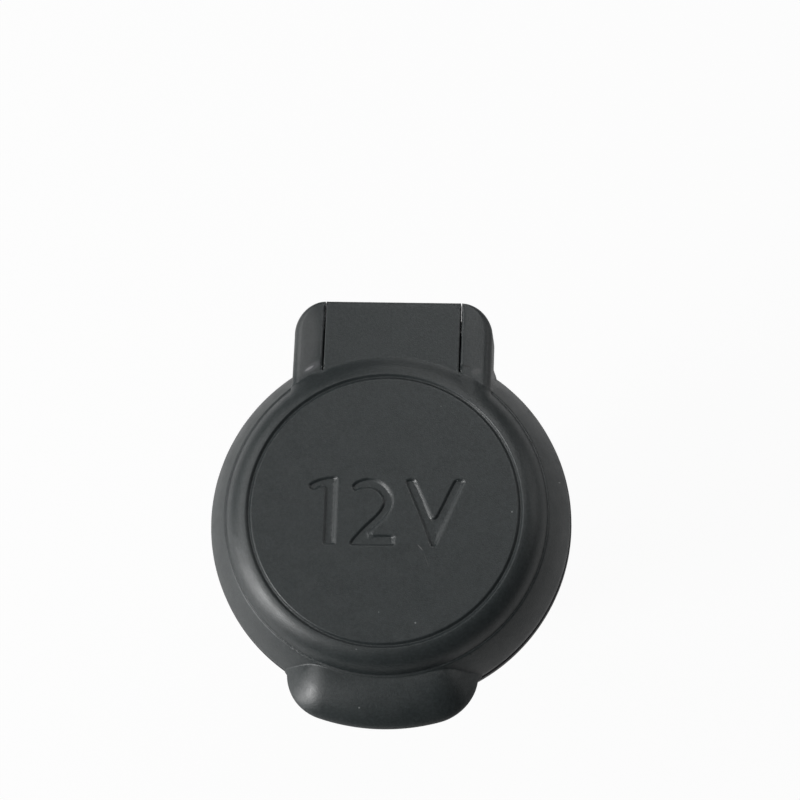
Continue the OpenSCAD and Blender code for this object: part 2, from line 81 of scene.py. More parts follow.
# Hinge plate and cheeks
HINGE_W = 20.0
HINGE_REACH = 21.4
PLATE_Z = 7.2
PLATE_T = 1.6
PLATE_UNDER_Z = PLATE_Z - PLATE_T
PLATE_CORNER_R = 3.2
SIDE_EDGE_R = 0.9
CHEEK_EDGE_R = 0.3
REAR_EDGE_R = 0.3
AXIS_Y = 18.7
AXIS_Z = 3.7
CHEEK_R = 2.0
CHEEK_IN = 6.9
SLIT_W = 0.12
SLIT_COLUMNS = (6.5, 6.64, 6.7, 6.75, 6.778, 6.91, 6.94, 6.99, 7.05, 7.12, 7.2, 7.5, 7.9, 8.3, 8.7)
NOTCH_Y = 12.6
# Room round a pin or rivet in its hole
HOLE_ROOM = 0.05
PIN_R = 0.8
PIN_HOLE_R = 0.82
PIN_CAP = 1.1

# Thumb tab
TAB_W = 18.9
TAB_REACH = 20.9
TAB_CORNER_R = 4.9
TAB_EDGE_W = 4.6
TAB_HALF_H = 2.0
TAB_MID_Z = 4.0
TAB_UNDER = 2.9
TAB_BLEND = 0.1
TAB_CORE_X = TAB_W / 2 - TAB_CORNER_R
TAB_CORE_R = TAB_REACH - TAB_CORNER_R
TAB_CORE_TURN = math.asin(TAB_CORE_X / TAB_CORE_R)

# Lettering on the disc, outlines of each sign seen from above
LETTER_DEPTH = 0.21
LETTER_WALL = 0.24
LETTER_SLOPE = 0.6
LETTERS_R = 9.5
WALL_ROWS = (-0.5, -0.42, -0.34, -0.26, -0.18, -0.1, -0.02, 0.05, 0.14, 0.26)
SIGN_ONE = [
    (-7.53, 2.25), (-7.02, 2.58), (-6.45, 2.84), (-5.8, 3.02), (-5.15, 3.12), (-4.7, 3.1),
    (-4.5, 2.9), (-4.47, 0), (-4.45, -3.5), (-4.55, -3.65), (-5.7, -3.65), (-5.8, -3.5),
    (-5.8, 0), (-5.82, 1.9), (-5.9, 2.05), (-6.35, 1.95), (-6.8, 1.72), (-7.25, 1.72),
]
SIGN_TWO = [
    (-3.26, 2.22), (-2.73, 2.71), (-1.84, 3.04), (-0.89, 3), (-0.06, 2.7), (0.58, 2.16),
    (1, 1.43), (1.1, 0.6), (0.88, -0.18), (0.36, -0.98), (-1.1, -2.5), (-0.69, -2.56),
    (1.15, -2.56), (1.35, -2.7), (1.35, -3.48), (1.2, -3.64), (-3, -3.68), (-3.18, -3.55),
    (-3.14, -3.24), (-2.07, -1.94), (-0.49, -0.37), (-0.06, 0.46), (-0.12, 1.07),
    (-0.59, 1.69), (-1.2, 1.97), (-1.79, 2.02), (-2.58, 1.83), (-3.01, 1.67),
]
SIGN_V = [
    (2.05, 2.75), (2.22, 2.98), (2.88, 3.06), (3.2, 2.89), (3.72, 1.9), (4.8, -0.4), (5.04, -0.8),
    (5.26, -0.4), (6.73, 2.88), (7, 3.09), (7.7, 3.12), (8, 2.92), (7.96, 2.62), (5.56, -3.15),
    (5.34, -3.55), (4.92, -3.64), (4.67, -3.45), (3.65, -0.8), (2.6, 1.5),
]


# Meshes

def mesh_object(name, verts, faces, smooth_below=32):
    """A new object from points in millimetres, closed, with its faces turned outward."""
    mesh = bpy.data.meshes.new(name)
    mesh.from_pydata([tuple(float(c) * MM for c in v) for v in verts], [], [list(f) for f in faces])
    obj = bpy.data.objects.new(name, mesh)
    bpy.context.collection.objects.link(obj)
    clean(obj, smooth_below)
    return obj


def clean(obj, smooth_below=32):
    """Merges doubles, turns faces outward and shades smoothly across shallow edges."""
    work = bmesh.new()
    work.from_mesh(obj.data)
    bmesh.ops.remove_doubles(work, verts=work.verts, dist=1e-7)
    bmesh.ops.dissolve_degenerate(work, edges=work.edges, dist=1e-7)
    bmesh.ops.recalc_face_normals(work, faces=work.faces)
    work.to_mesh(obj.data)
    work.free()
    shade(obj, smooth_below)


def shade(obj, smooth_below=32):
    """Smooth shading that keeps edges sharper than the given angle."""
    obj.data.shade_smooth()
    obj.data.set_sharp_from_angle(angle=math.radians(smooth_below))


def apply_modifiers(obj):
    """Bakes the object's modifiers into its mesh."""
    graph = bpy.context.evaluated_depsgraph_get()
    baked = bpy.data.meshes.new_from_object(obj.evaluated_get(graph))
    obj.modifiers.clear()
    obj.data = baked


def combine(obj, others, operation):
    """Adds other closed solids to this one or cuts them out, and removes them."""
    for other in others:
        step = obj.modifiers.new(operation.lower(), "BOOLEAN")
        step.operation = operation
        step.solver = "MANIFOLD"
        step.object = other
    apply_modifiers(obj)
    for other in others:
        bpy.data.objects.remove(other)
    clean(obj)
    return obj


def add(obj, *others):
    return combine(obj, others, "UNION")


def cut(obj, *others):
    return combine(obj, others, "DIFFERENCE")


def rounded(points, radius, steps=5):
    """A closed outline with each corner rounded; radius is one number or one a corner."""
    count = len(points)
    radii = radius if isinstance(radius, (list, tuple)) else [radius] * count
    result = []
    for i, (corner, r) in enumerate(zip(points, radii)):
        here = Vector(corner)
        to_last = Vector(points[i - 1]) - here
        to_next = Vector(points[(i + 1) % count]) - here
        half = to_last.angle(to_next) / 2
        if r <= 0 or half > math.radians(85):
            result.append(tuple(here))
            continue
        reach = min(r / math.tan(half), 0.49 * to_last.length, 0.49 * to_next.length)
        r = reach * math.tan(half)
        start = here + to_last.normalized() * reach
        end = here + to_next.normalized() * reach
        middle = here + (to_last.normalized() + to_next.normalized()).normalized() * (r / math.sin(half))
        first = start - middle
        angle = first.angle_signed(end - middle)
        for k in range(steps + 1):
            turned = first.copy()
            turned.rotate(Matrix.Rotation(-angle * k / steps, 2))
            result.append(tuple(middle + turned))
    return result


def lathe(name, outline, steps=288, smooth_below=32):
    """A solid of revolution about Z from a closed outline of radius and height."""
    verts = []
    rows = []
    for r, z in outline:
        if r < 1e-6:
            rows.append([len(verts)] * steps)
            verts.append((0, 0, z))
            continue
        rows.append(list(range(len(verts), len(verts) + steps)))
        verts += [(r * math.cos(TURN * k / steps), r * math.sin(TURN * k / steps), z) for k in range(steps)]
    faces = []
    for low, high in zip(rows, rows[1:] + rows[:1]):
        for k in range(steps):
            face = [low[k], low[(k + 1) % steps], high[(k + 1) % steps], high[k]]
            face = [v for i, v in enumerate(face) if v not in face[:i]]
            if len(face) > 2:
                faces.append(face)
    return mesh_object(name, verts, faces, smooth_below)


def prism(name, outline, low, high, axis="z", smooth_below=32):
    """A closed outline pushed along an axis: (x, y) along z, (y, z) along x, (x, z) along y."""
    return loft(name, [(outline, low), (outline, high)], axis, smooth_below)


def rectangle(low, high):
    return [(low[0], low[1]), (high[0], low[1]), (high[0], high[1]), (low[0], high[1])]


def box(name, low, high):
    return prism(name, rectangle(low, high), low[2], high[2])


def bar(name, radius, low_x, high_x, y, z, steps=64):
    """A round bar along X."""
    return prism(name, ring(radius, steps, (y, z)), low_x, high_x, "x")


def ring(radius, steps=64, middle=(0, 0)):
    """Points round a circle."""
    turns = [TURN * k / steps for k in range(steps)]
    return [(middle[0] + radius * math.cos(a), middle[1] + radius * math.sin(a)) for a in turns]


def shrunk(outline, distance):
    """A closed outline moved inward by a small distance, corner by corner."""
    area = sum(a[0] * b[1] - b[0] * a[1] for a, b in zip(outline, outline[1:] + outline[:1]))
    side = math.copysign(1, area)
    result = []
    for i, here in enumerate(outline):
        before = (Vector(here) - Vector(outline[i - 1])).normalized()
        after = (Vector(outline[(i + 1) % len(outline)]) - Vector(here)).normalized()
        first = Vector((-before.y, before.x)) * side
        second = Vector((-after.y, after.x)) * side
        result.append(tuple(Vector(here) + (first + second) * distance / (1 + first.dot(second))))
    return result


AXES = {
    "z": lambda a, b, c: (a, b, c),
    "x": lambda a, b, c: (c, a, b),
    "y": lambda a, b, c: (a, c, b),
}


def loft(name, rows, axis="z", smooth_below=32):
    """A closed solid through outlines with the same number of points, each at its level."""
    turned = AXES[axis]
    count = len(rows[0][0])
    verts = [turned(a, b, level) for outline, level in rows for a, b in outline]
    faces = [list(range(count)), list(range((len(rows) - 1) * count, len(rows) * count))]
    for low in range(0, (len(rows) - 1) * count, count):
        high = low + count
        for i in range(count):
            j = (i + 1) % count
            faces.append([low + i, low + j, high + j, high + i])
    return mesh_object(name, verts, faces, smooth_below)


def soft_prism(name, outline, low, high, axis="z", edge=0.15, steps=3):
    """A prism whose edges at both ends are rounded."""
    rows = []
    for k in range(steps + 1):
        turn = math.pi / 2 * k / steps
        rows.append((shrunk(outline, edge * (1 - math.sin(turn))), low + edge * (1 - math.cos(turn))))
    return loft(name, rows + [(row, low + high - level) for row, level in rows[::-1]], axis)


def math_node(nodes, operation, second=None):
    made = nodes.new("ShaderNodeMath")
    made.operation = operation
    if second is not None:
        made.inputs[1].default_value = second
    return made


def ring_group():
    """Geometry nodes that copy a mesh round the Z axis."""
    group = bpy.data.node_groups.new("copies_round_axis", "GeometryNodeTree")
    face = group.interface
    face.new_socket("Geometry", in_out="INPUT", socket_type="NodeSocketGeometry")
    face.new_socket("Count", in_out="INPUT", socket_type="NodeSocketInt").default_value = 3
    face.new_socket("First Turn", in_out="INPUT", socket_type="NodeSocketFloat")
    face.new_socket("Material", in_out="INPUT", socket_type="NodeSocketMaterial")
    face.new_socket("Geometry", in_out="OUTPUT", socket_type="NodeSocketGeometry")
    nodes = group.nodes
    links = group.links
    given = nodes.new("NodeGroupInput")
    result = nodes.new("NodeGroupOutput")
    points = nodes.new("GeometryNodePoints")
    links.new(given.outputs["Count"], points.inputs["Count"])
    share = math_node(nodes, "DIVIDE")
    share.inputs[0].default_value = TURN
    links.new(given.outputs["Count"], share.inputs[1])
    turn = math_node(nodes, "MULTIPLY_ADD")
    links.new(nodes.new("GeometryNodeInputIndex").outputs["Index"], turn.inputs[0])
    links.new(share.outputs[0], turn.inputs[1])
    links.new(given.outputs["First Turn"], turn.inputs[2])
    about = nodes.new("ShaderNodeCombineXYZ")
    links.new(turn.outputs[0], about.inputs["Z"])
    copies = nodes.new("GeometryNodeInstanceOnPoints")
    links.new(points.outputs[0], copies.inputs["Points"])
    links.new(given.outputs["Geometry"], copies.inputs["Instance"])
    links.new(about.outputs[0], copies.inputs["Rotation"])
    real = nodes.new("GeometryNodeRealizeInstances")
    links.new(copies.outputs[0], real.inputs[0])
    coat = nodes.new("GeometryNodeSetMaterial")
    links.new(real.outputs[0], coat.inputs["Geometry"])
    links.new(given.outputs["Material"], coat.inputs["Material"])
    links.new(coat.outputs[0], result.inputs["Geometry"])
    return group


RING_GROUP = ring_group()


def copies_round(obj, count, first_turn, material):
    """Replaces a mesh by equal copies of it round the Z axis."""
    step = obj.modifiers.new("copies", "NODES")
    step.node_group = RING_GROUP
    values = {"Count": count, "First Turn": math.radians(first_turn), "Material": material}
    for item in RING_GROUP.interface.items_tree:
        if item.in_out == "INPUT" and item.name in values:
            step[item.identifier] = values[item.name]
    apply_modifiers(obj)
    return obj


# Lid

def smooth_max(a, b, k):
    """The larger of two heights, with a rounded inner corner."""
    h = np.clip(0.5 + 0.5 * (a - b) / k, 0, 1)
    return b + (a - b) * h + k * h * (1 - h)


def dome_outline():
    """Radius and height along the lid's outer form, from the disc's edge to the rim."""
    rows = [(12.6, DISC_Z), (12.9, DISC_Z)]
    for t in np.linspace(0, TURN, 17):
        middle = (GROOVE_IN_R + GROOVE_OUT_R) / 2
        half = (GROOVE_OUT_R - GROOVE_IN_R) / 2 + 0.03
        depth = GROOVE_D * (1 - math.cos(t)) / 2
        rows.append((middle + half * (t / math.pi - 1), DISC_Z - depth))
    across = np.linspace(0, 1, 25)
    tilt = np.radians(np.interp(across, SHOULDER_AT, SHOULDER_TILT))
    steps = (np.tan(tilt[1:]) + np.tan(tilt[:-1])) / 2
    fall = np.concatenate([[0], np.cumsum(steps)]) / steps.sum()
    for out, down in zip(across, fall):
        rows.append((SHOULDER_IN_R + SHOULDER_W * out, DISC_Z - 0.02 - SHOULDER_FALL * down))
    rows += [(15.91, CREASE_Z + 0.01), (15.94, CREASE_Z - 0.005)]
    for t in np.radians([0, 12, 24, 36, 48, 60]):
        down = CREASE_EDGE_R * (1 - math.cos(t))
        rows.append((CREASE_R + CREASE_EDGE_R * math.sin(t), CREASE_Z - 0.01 - down))
    crease_r, crease_z = rows[-1]
    for t in np.linspace(0, 1, 12)[1:]:
        crown = 0.1 * math.sin(math.pi * t)
        r = crease_r + (LID_R - 0.1 - crease_r) * t
        z = crease_z + (RIM_Z + 0.25 - crease_z) * t
        rows.append((r + crown * 0.89, z + crown * 0.45))
    rows += [(LID_R - 0.045, RIM_Z + 0.12), (LID_R - 0.012, RIM_Z), (LID_R, RIM_Z - 0.16)]
    return rows


DOME_ROWS = dome_outline()


def dome_height(x, y):
    return np.interp(np.hypot(x, y), [r for r, z in DOME_ROWS], [z for r, z in DOME_ROWS])


def plate_inset(x, y):
    """Distance inside the plate's outline, seen from above, and how far it faces sideways."""
    side = HINGE_W / 2 - np.abs(x)
    rear = HINGE_REACH - y
    across = np.maximum(PLATE_CORNER_R - side, 0)
    along = np.maximum(PLATE_CORNER_R - rear, 0)
    corner = np.hypot(across, along)
    in_corner = (across > 0) & (along > 0)
    inset = np.where(in_corner, PLATE_CORNER_R - corner, np.minimum(side, rear))
    sideways = np.where(in_corner, across / np.maximum(corner, 1e-9), (side < rear) * 1.0)
    return inset, sideways


def edge_drop(inset, radius):
    """How far a rounded edge lies below its top, and steeply beyond its outline."""
    within = np.clip(inset, 0, radius)
    drop = radius - np.sqrt(np.maximum(radius ** 2 - (radius - within) ** 2, 0))
    return drop + 14 * np.maximum(-inset, 0)


def plate_height(x, y):
    inset, sideways = plate_inset(x, y)
    radius = REAR_EDGE_R + (SIDE_EDGE_R - REAR_EDGE_R) * sideways ** 2
    inner = np.abs(x) - CHEEK_IN
    cheek = np.where(inner >= 0, edge_drop(inner, CHEEK_EDGE_R) + 0.07 * inner + 0.012 * inner ** 2, 0)
    tongue = np.where(inner < -SLIT_W, edge_drop(-inner - SLIT_W, 0.12), 0)
    return PLATE_Z - edge_drop(inset, radius) - np.minimum(cheek + tongue, 0.6)


def tab_core():
    """Outline points of the tab's flat core with the outward direction at each."""
    low_y = -TAB_CORE_R * math.cos(TAB_CORE_TURN)
    rows = [((TAB_CORE_X, y), (1, 0)) for y in np.linspace(-11.5, low_y, 16)]
    for t in np.linspace(0, math.pi / 2 - TAB_CORE_TURN, 14)[1:]:
        rows.append(((TAB_CORE_X, low_y), (math.cos(t), -math.sin(t))))
    beside = len(rows)
    for t in np.linspace(TAB_CORE_TURN, -TAB_CORE_TURN, 50)[1:-1]:
        place_on_arc = (TAB_CORE_R * math.sin(t), -TAB_CORE_R * math.cos(t))
        rows.append((place_on_arc, (math.sin(t), -math.cos(t))))
    return rows + [((-x, y), (-nx, ny)) for (x, y), (nx, ny) in rows[:beside]][::-1]


def tab_outset(x, y):
    """Distance outside the tab's core, seen from above."""
    corner_y = -TAB_CORE_R * math.cos(TAB_CORE_TURN)
    across = np.abs(x) - TAB_CORE_X
    beyond = np.maximum(np.hypot(x, y) - TAB_CORE_R, 0)
    corner = np.hypot(across, y - corner_y)
    before_corner = np.arctan2(np.abs(x), -y) < TAB_CORE_TURN
    beside = np.where(y > corner_y, np.maximum(across, 0), corner)
    return np.where(before_corner, beyond, beside)


def edge_share(out):
    """How far across the tab's rounded edge a point lies, from 0 to 1 at the outline."""
    return np.clip((out - TAB_CORNER_R + TAB_EDGE_W) / TAB_EDGE_W, 0, 1)


def beside_root(x, y):
    """From 0 on the tab to 1 at both sides of its root."""
    near = np.clip((y + 20.0) / 5.0, 0, 1) * np.clip((np.abs(x) - 4) / 4.5, 0, 1)
    return near * near * (3 - 2 * near)


def tab_middle(x, y):
    """Height of the middle of the tab's edge, lower beside its root."""
    return TAB_MID_Z - 1.2 * beside_root(x, y)


def tab_height(x, y):
    out = tab_outset(x, y)
    middle = tab_middle(x, y)
    power = 0.7 + 0.3 * beside_root(x, y)
    top = middle + (TAB_MID_Z + TAB_HALF_H - middle) * (1 - edge_share(out) ** 2) ** power
    return np.where(y < -NEAR_Y, top - 1.6 * np.maximum(out - TAB_CORNER_R, 0), -20)


def tab_bottom(x, y):
    share = edge_share(tab_outset(x, y))
    middle = tab_middle(x, y)
    return np.maximum(middle - TAB_HALF_H * np.sqrt(1 - share ** 2), np.minimum(middle, TAB_UNDER))


def tab_root():
    """Points along the line where the tab leaves the dome."""
    x = np.linspace(-TAB_W / 2 - 0.1, TAB_W / 2 + 0.1, 220)
    low = np.full(len(x), -18.0)
    high = np.full(len(x), -13.0)
    for _ in range(30):
        y = (low + high) / 2
        on_tab = tab_height(x, y) > dome_height(x, y)
        low = np.where(on_tab, y, low)
        high = np.where(on_tab, high, y)
    found = []
    for a, b in zip(x, low):
        for step in (-0.16, -0.07, 0, 0.07, 0.16):
            if math.hypot(a, b + step) < LID_R - 0.05:
                found.append((a, b + step))
    return found


def softened(outline, times=2):
    """A closed outline with its corners cut twice."""
    pts = np.array(outline, float)
    for _ in range(times):
        following = np.roll(pts, -1, axis=0)
        pts = np.stack([pts * 0.8 + following * 0.2, pts * 0.2 + following * 0.8], axis=1).reshape(-1, 2)
    return pts


SIGNS = [softened(sign) for sign in (SIGN_ONE, SIGN_TWO, SIGN_V)]


def sign_distance(points):
    """Distance from each point to the nearest sign's outline, negative inside."""
    best = np.full(len(points), 1e9)
    for sign in SIGNS:
        step = np.roll(sign, -1, axis=0) - sign
        inside = np.zeros(len(points), bool)
        nearest = np.full(len(points), 1e9)
        for (ax, ay), (dx, dy) in zip(sign, step):
            px = points[:, 0] - ax
            py = points[:, 1] - ay
            t = np.clip((px * dx + py * dy) / (dx * dx + dy * dy), 0, 1)
            nearest = np.minimum(nearest, np.hypot(px - t * dx, py - t * dy))
            crosses = (py > 0) != (py > dy)
            inside ^= crosses & (px < dx * py / (dy if dy else 1e-12))
        best = np.minimum(best, np.where(inside, -nearest, nearest))
    return best


def sign_rows():
    """Rows of points along the signs' soft walls."""
    found = []
    for sign in SIGNS:
        step = np.roll(sign, -1, axis=0) - sign
        length = np.hypot(*step.T)
        for (ax, ay), (dx, dy), run in zip(sign, step, length):
            count = max(1, round(run / 0.11))
            for t in (np.arange(count) + 0.5) / count:
                for out in WALL_ROWS:
                    for side in (-1, 1):
                        px = ax + dx * t + side * dy / run * out
                        py = ay + dy * t - side * dx / run * out
                        found.append((px, py, out))
    points = np.array(found)
    distance = sign_distance(points[:, :2])
    return points[np.abs(distance - points[:, 2]) < 0.012][:, :2]


def lid_height(x, y):
    dome = dome_height(x, y)
    inset, _ = plate_inset(x, y)
    blend = np.where(inset > 0, 0.6 + 0.8 * np.clip((np.abs(x) - CHEEK_IN) / 1.5, 0, 1), 1.4)
    height = np.where(y > NEAR_Y, smooth_max(plate_height(x, y), dome, blend), dome)
    height = np.where(y < -NEAR_Y, smooth_max(tab_height(x, y), dome, TAB_BLEND), height)
    height = np.minimum(height, DISC_Z)
    near = np.hypot(x, y) < LETTERS_R
    close = np.column_stack([x, y])[near]
    letters = sign_distance(close)
    to_right = (sign_distance(close + (0.35, 0)) - sign_distance(close - (0.35, 0))) / 0.7
    width = LETTER_WALL + LETTER_SLOPE * np.clip(to_right, 0, 1)
    wall = np.clip(0.5 - (letters + width / 2 - 0.05) / width, 0, 1)
    height[near] -= LETTER_DEPTH * wall * wall * (3 - 2 * wall)
    return height


def lid_bottom(x, y):
    """The underside before the hollow is cut: rim, tab underside and cheeks round the pin."""
    r = np.hypot(x, y)
    along = np.clip(y - AXIS_Y, 0, CHEEK_R)
    cheek = AXIS_Z - np.sqrt(np.maximum(CHEEK_R ** 2 - along ** 2, 0))
    bottom = np.where(y > AXIS_Y, cheek, SKIRT_Z)
    rim = (r > LID_R - 0.03) & ((y < NEAR_Y) | (np.abs(x) > HINGE_W / 2 + 0.05))
    bottom = np.where(rim, RIM_Z - 0.2, bottom)
    bottom = np.where(y > AXIS_Y + CHEEK_R + 0.02, PLATE_UNDER_Z, bottom)
    return np.where((y < 0) & (r > LID_R + 0.02), tab_bottom(x, y), bottom)


def arc_points(cx, cy, radius, first, last, steps):
    turns = np.linspace(first, last, steps)
    return [(cx + radius * math.cos(t), cy + radius * math.sin(t)) for t in turns]


def outline_rows():
    """The lid's outline seen from above, from the hinge's right side round to its left."""
    edge = HINGE_W / 2
    corner_x = edge - PLATE_CORNER_R
    corner_y = HINGE_REACH - PLATE_CORNER_R
    side_y = math.sqrt(LID_R ** 2 - edge ** 2)
    plate = [(x, HINGE_REACH) for x in np.linspace(0, corner_x, 26)[1:]]
    plate += arc_points(corner_x, corner_y, PLATE_CORNER_R, math.pi / 2, 0, 20)[1:]
    plate += [(edge, y) for y in np.linspace(corner_y, side_y + 0.42, 12)[1:]]
    fillet = [(edge + 0.04, side_y + 0.28), (edge + 0.13, side_y + 0.14), (edge + 0.28, side_y)]
    tab_edge = TAB_W / 2
    tab_start = -math.sqrt(LID_R ** 2 - tab_edge ** 2)
    tab = []
    for (x, y), (nx, ny) in tab_core():
        if x >= 0 and y + ny * TAB_CORNER_R < tab_start - 0.3:
            tab.append((x + nx * TAB_CORNER_R, y + ny * TAB_CORNER_R))
    start = math.atan2(side_y - 0.12, edge + 0.42)
    end = math.atan2(tab_start + 0.12, tab_edge + 0.35)
    skirt = arc_points(0, 0, LID_R, start, end, 260)
    joint = [(tab_edge + 0.24, tab_start - 0.08)]
    right = [(0, HINGE_REACH)] + plate + fillet + skirt + joint + tab
    left = [(-x, y) for x, y in right[::-1] if abs(x) > 1e-6]
    return [p for p in right if p[0] >= 0] + left


def at(function, x, y):
    """The first result of a function of arrays, for one place."""
    return function(np.array([x]), np.array([y]))[0]


def dome_points():
    """The dome's rows, without what lies deep inside the plate or the tab."""
    found = []
    for r, _ in DOME_ROWS[:-1]:
        for k in range(ROUND_STEPS):
            t = TURN * k / ROUND_STEPS
            x, y = r * math.cos(t), r * math.sin(t)
            under_tab = y < 0 and dome_height(x, y) < at(tab_height, x, y) - 1.1
            under_plate = y > 0 and dome_height(x, y) < at(plate_height, x, y) - 1.3
            if not under_tab and not under_plate:
                found.append((x, y))
    return found


def tab_points():
    """The tab's root, its rounded edge, and a little beyond it at both sides."""
    found = tab_root()
    for (x, y), (nx, ny) in tab_core():
        turns = np.linspace(0, math.pi / 2, 15)[:-1]
        outs = [TAB_CORNER_R - TAB_EDGE_W * (1 - math.sin(t)) for t in turns]
        if nx * nx > 0.98:
            outs += [TAB_CORNER_R + out for out in (0, 0.08, 0.16, 0.26)]
        found += [(x + nx * out, y + ny * out) for out in outs]
    return found


def plate_points():
    """The hinge plate's edges and corners, its slits, its tongue and the cheeks."""
    found = []
    edge = HINGE_W / 2
    corner_x = edge - PLATE_CORNER_R
    corner_y = HINGE_REACH - PLATE_CORNER_R
    quarter = np.linspace(0, math.pi / 2, 8)[:-1]
    for side in (-1, 1):
        for y in np.arange(11.6, corner_y, 0.22):
            found += [(side * (edge - SIDE_EDGE_R * (1 - math.sin(t))), y) for t in quarter]
            if math.hypot(edge, y) < LID_R - 0.1:
                found += [(side * (edge + out), y) for out in (0, 0.06, 0.13, 0.2, 0.28, 0.4)]
        for a in np.linspace(0, math.pi / 2, 20):
            radius = REAR_EDGE_R + (SIDE_EDGE_R - REAR_EDGE_R) * math.cos(a) ** 2
            for t in quarter:
                out = PLATE_CORNER_R - radius * (1 - math.sin(t))
                found.append((side * (corner_x + out * math.cos(a)), corner_y + out * math.sin(a)))
        for x in SLIT_COLUMNS:
            found += [(side * x, y) for y in np.arange(15.2, HINGE_REACH - 0.35, 0.4)]
    for x in np.arange(-6.2, 6.3, 0.25):
        found += [(x, HINGE_REACH - in_from_edge) for in_from_edge in (0.3, 0.19, 0.1, 0.04)]
        found += [(x, y) for y in np.arange(16.6, HINGE_REACH - 0.5, 0.5)]
    rows = [AXIS_Y + CHEEK_R * math.sin(t) for t in np.linspace(0, math.pi / 2, 9)]
    for y in rows + [AXIS_Y + CHEEK_R + 0.05]:
        for side in (-1, 1):
            columns = [x for x in np.arange(7.0, 9.6, 0.4) if at(plate_inset, x, y)[0] > 1.0]
            found += [(side * x, y) for x in columns]
    return found


def rim_points():
    """The skirt's rim where the tab covers it, and a row just outside it."""
    found = []
    for k in range(240):
        t = math.pi + TURN / 12 + (TURN / 3) * k / 240
        for r in (LID_R - 0.045, LID_R - 0.012, LID_R, LID_R + 0.05):
            x, y = r * math.cos(t), r * math.sin(t)
            if at(tab_outset, x, y) < TAB_CORNER_R - 0.1:
                found.append((x, y))
    return found


def disc_points():
    """Rows along the lettering, an even field round it and a grid inside it."""
    field = []
    for row in range(-60, 61):
        for column in range(-60, 61):
            x = (column + 0.5 * (row % 2)) * 0.42
            y = row * 0.364
            if math.hypot(x, y) < 12.5:
                field.append((x, y))
    field = np.array(field)
    field = field[np.abs(sign_distance(field)) > 0.5]
    grid = np.meshgrid(np.arange(-8, 8.5, 0.3), np.arange(-4, 3.6, 0.3))
    inner = np.column_stack([c.ravel() for c in grid])
    inner = inner[sign_distance(inner) < -0.55]
    return np.vstack([sign_rows(), field, inner]).tolist()


def lid_shell():
    """The lid's outside as heights over its plan, closed downward."""
    outline = outline_rows()
    places = outline + dome_points() + tab_points() + plate_points() + rim_points() + disc_points()
    loop = list(range(len(outline)))
    found, _, faces, _, _, _ = delaunay_2d_cdt([Vector(p) for p in places], [], [loop], 1, 1e-4)
    plan = np.array([tuple(p) for p in found])
    top = lid_height(plan[:, 0], plan[:, 1])
    low = np.minimum(lid_bottom(plan[:, 0], plan[:, 1]), top - 0.02)
    count = len(plan)
    verts = np.vstack([np.column_stack([plan, top]), np.column_stack([plan, low])])
    solid = [list(f) for f in faces] + [[v + count for v in f][::-1] for f in faces]
    edges = {}
    for f in faces:
        for a, b in zip(f, list(f[1:]) + [f[0]]):
            edges[(a, b)] = True
    for a, b in edges:
        if (b, a) not in edges:
            solid.append([b, a, a + count, b + count])
    return mesh_object("dust_lid", verts.tolist(), solid, 38)


def make_lid():
    lid = lid_shell()
    hollow = lathe("hollow", [
        (0, -2), (LID_R - LID_WALL, -2), (LID_R - LID_WALL, SKIRT_Z),
        (CAVITY_R + 0.1, CREASE_Z - LID_WALL / 2), (CAVITY_R, CREASE_Z - LID_WALL / 2 + 0.3),
        (CAVITY_R, ROOF_Z - 0.3), (CAVITY_R - 0.3, ROOF_Z), (0, ROOF_Z),
    ])
    cut(lid, hollow)
    plug = lathe("plug", rounded([
        (PLUG_R - PLUG_WALL, PLUG_Z), (PLUG_R, PLUG_Z), (PLUG_R, PLUG_Z + 0.35),
        (PLUG_R + 0.13, PLUG_Z + 0.6), (PLUG_R, PLUG_Z + 0.85), (PLUG_R, ROOF_Z + 0.1),
        (PLUG_R - PLUG_WALL, ROOF_Z + 0.1),
    ], [0.25, 0.25, 0.2, 0.1, 0.2, 0, 0]))
    rib = box("ribs", (PLUG_R - 0.5, -0.4, 3.3), (CAVITY_R + 0.5, 0.4, ROOF_Z + 0.1))
    add(lid, plug, copies_round(rib, 8, 22.5, LID_PLASTIC))
    notch = box("notch", (-CHEEK_IN, NOTCH_Y, -1), (CHEEK_IN, HINGE_REACH + 1, PLATE_UNDER_Z))
    slits = []
    for side in (-1, 1):
        low, high = sorted((side * (CHEEK_IN - SLIT_W), side * CHEEK_IN))
        first = (low, CAVITY_R - SLIT_W, PLATE_UNDER_Z - 0.3)
        slits.append(box("slit", first, (high, HINGE_REACH + 1, 9)))
    mouth = CHEEK_IN - 0.02
    flare = [(mouth, HINGE_REACH + 1), (mouth, HINGE_REACH - 0.9), (CHEEK_IN - 0.24, HINGE_REACH + 1)]
    slits.append(prism("slit_mouth", flare, PLATE_UNDER_Z - 0.3, 9))
    bore = bar("bore", PIN_HOLE_R, -HINGE_W / 2 - 1, HINGE_W / 2 - PIN_CAP, AXIS_Y, AXIS_Z)
    cut(lid, notch, *slits, bore)
    shade(lid, 34)
    return lid


# Materials

def new_material(name):
    made = bpy.data.materials.new(name)
    made.use_nodes = True
    nodes = made.node_tree.nodes
    return made, nodes, made.node_tree.links, nodes["Principled BSDF"]


def object_point(nodes, links, scale=1000.0):
    """The place on the object in millimetres."""
    coordinates = nodes.new("ShaderNodeTexCoord")
    mapping = nodes.new("ShaderNodeMapping")
    mapping.inputs["Scale"].default_value = (scale, scale, scale)
    links.new(coordinates.outputs["Object"], mapping.inputs["Vector"])
    return mapping.outputs["Vector"]


def noise(nodes, links, point, scale, detail=4.0, rough=0.6):
    made = nodes.new("ShaderNodeTexNoise")
    made.inputs["Scale"].default_value = scale
    made.inputs["Detail"].default_value = detail
    made.inputs["Roughness"].default_value = rough
    links.new(point, made.inputs["Vector"])
    return made.outputs["Fac"]


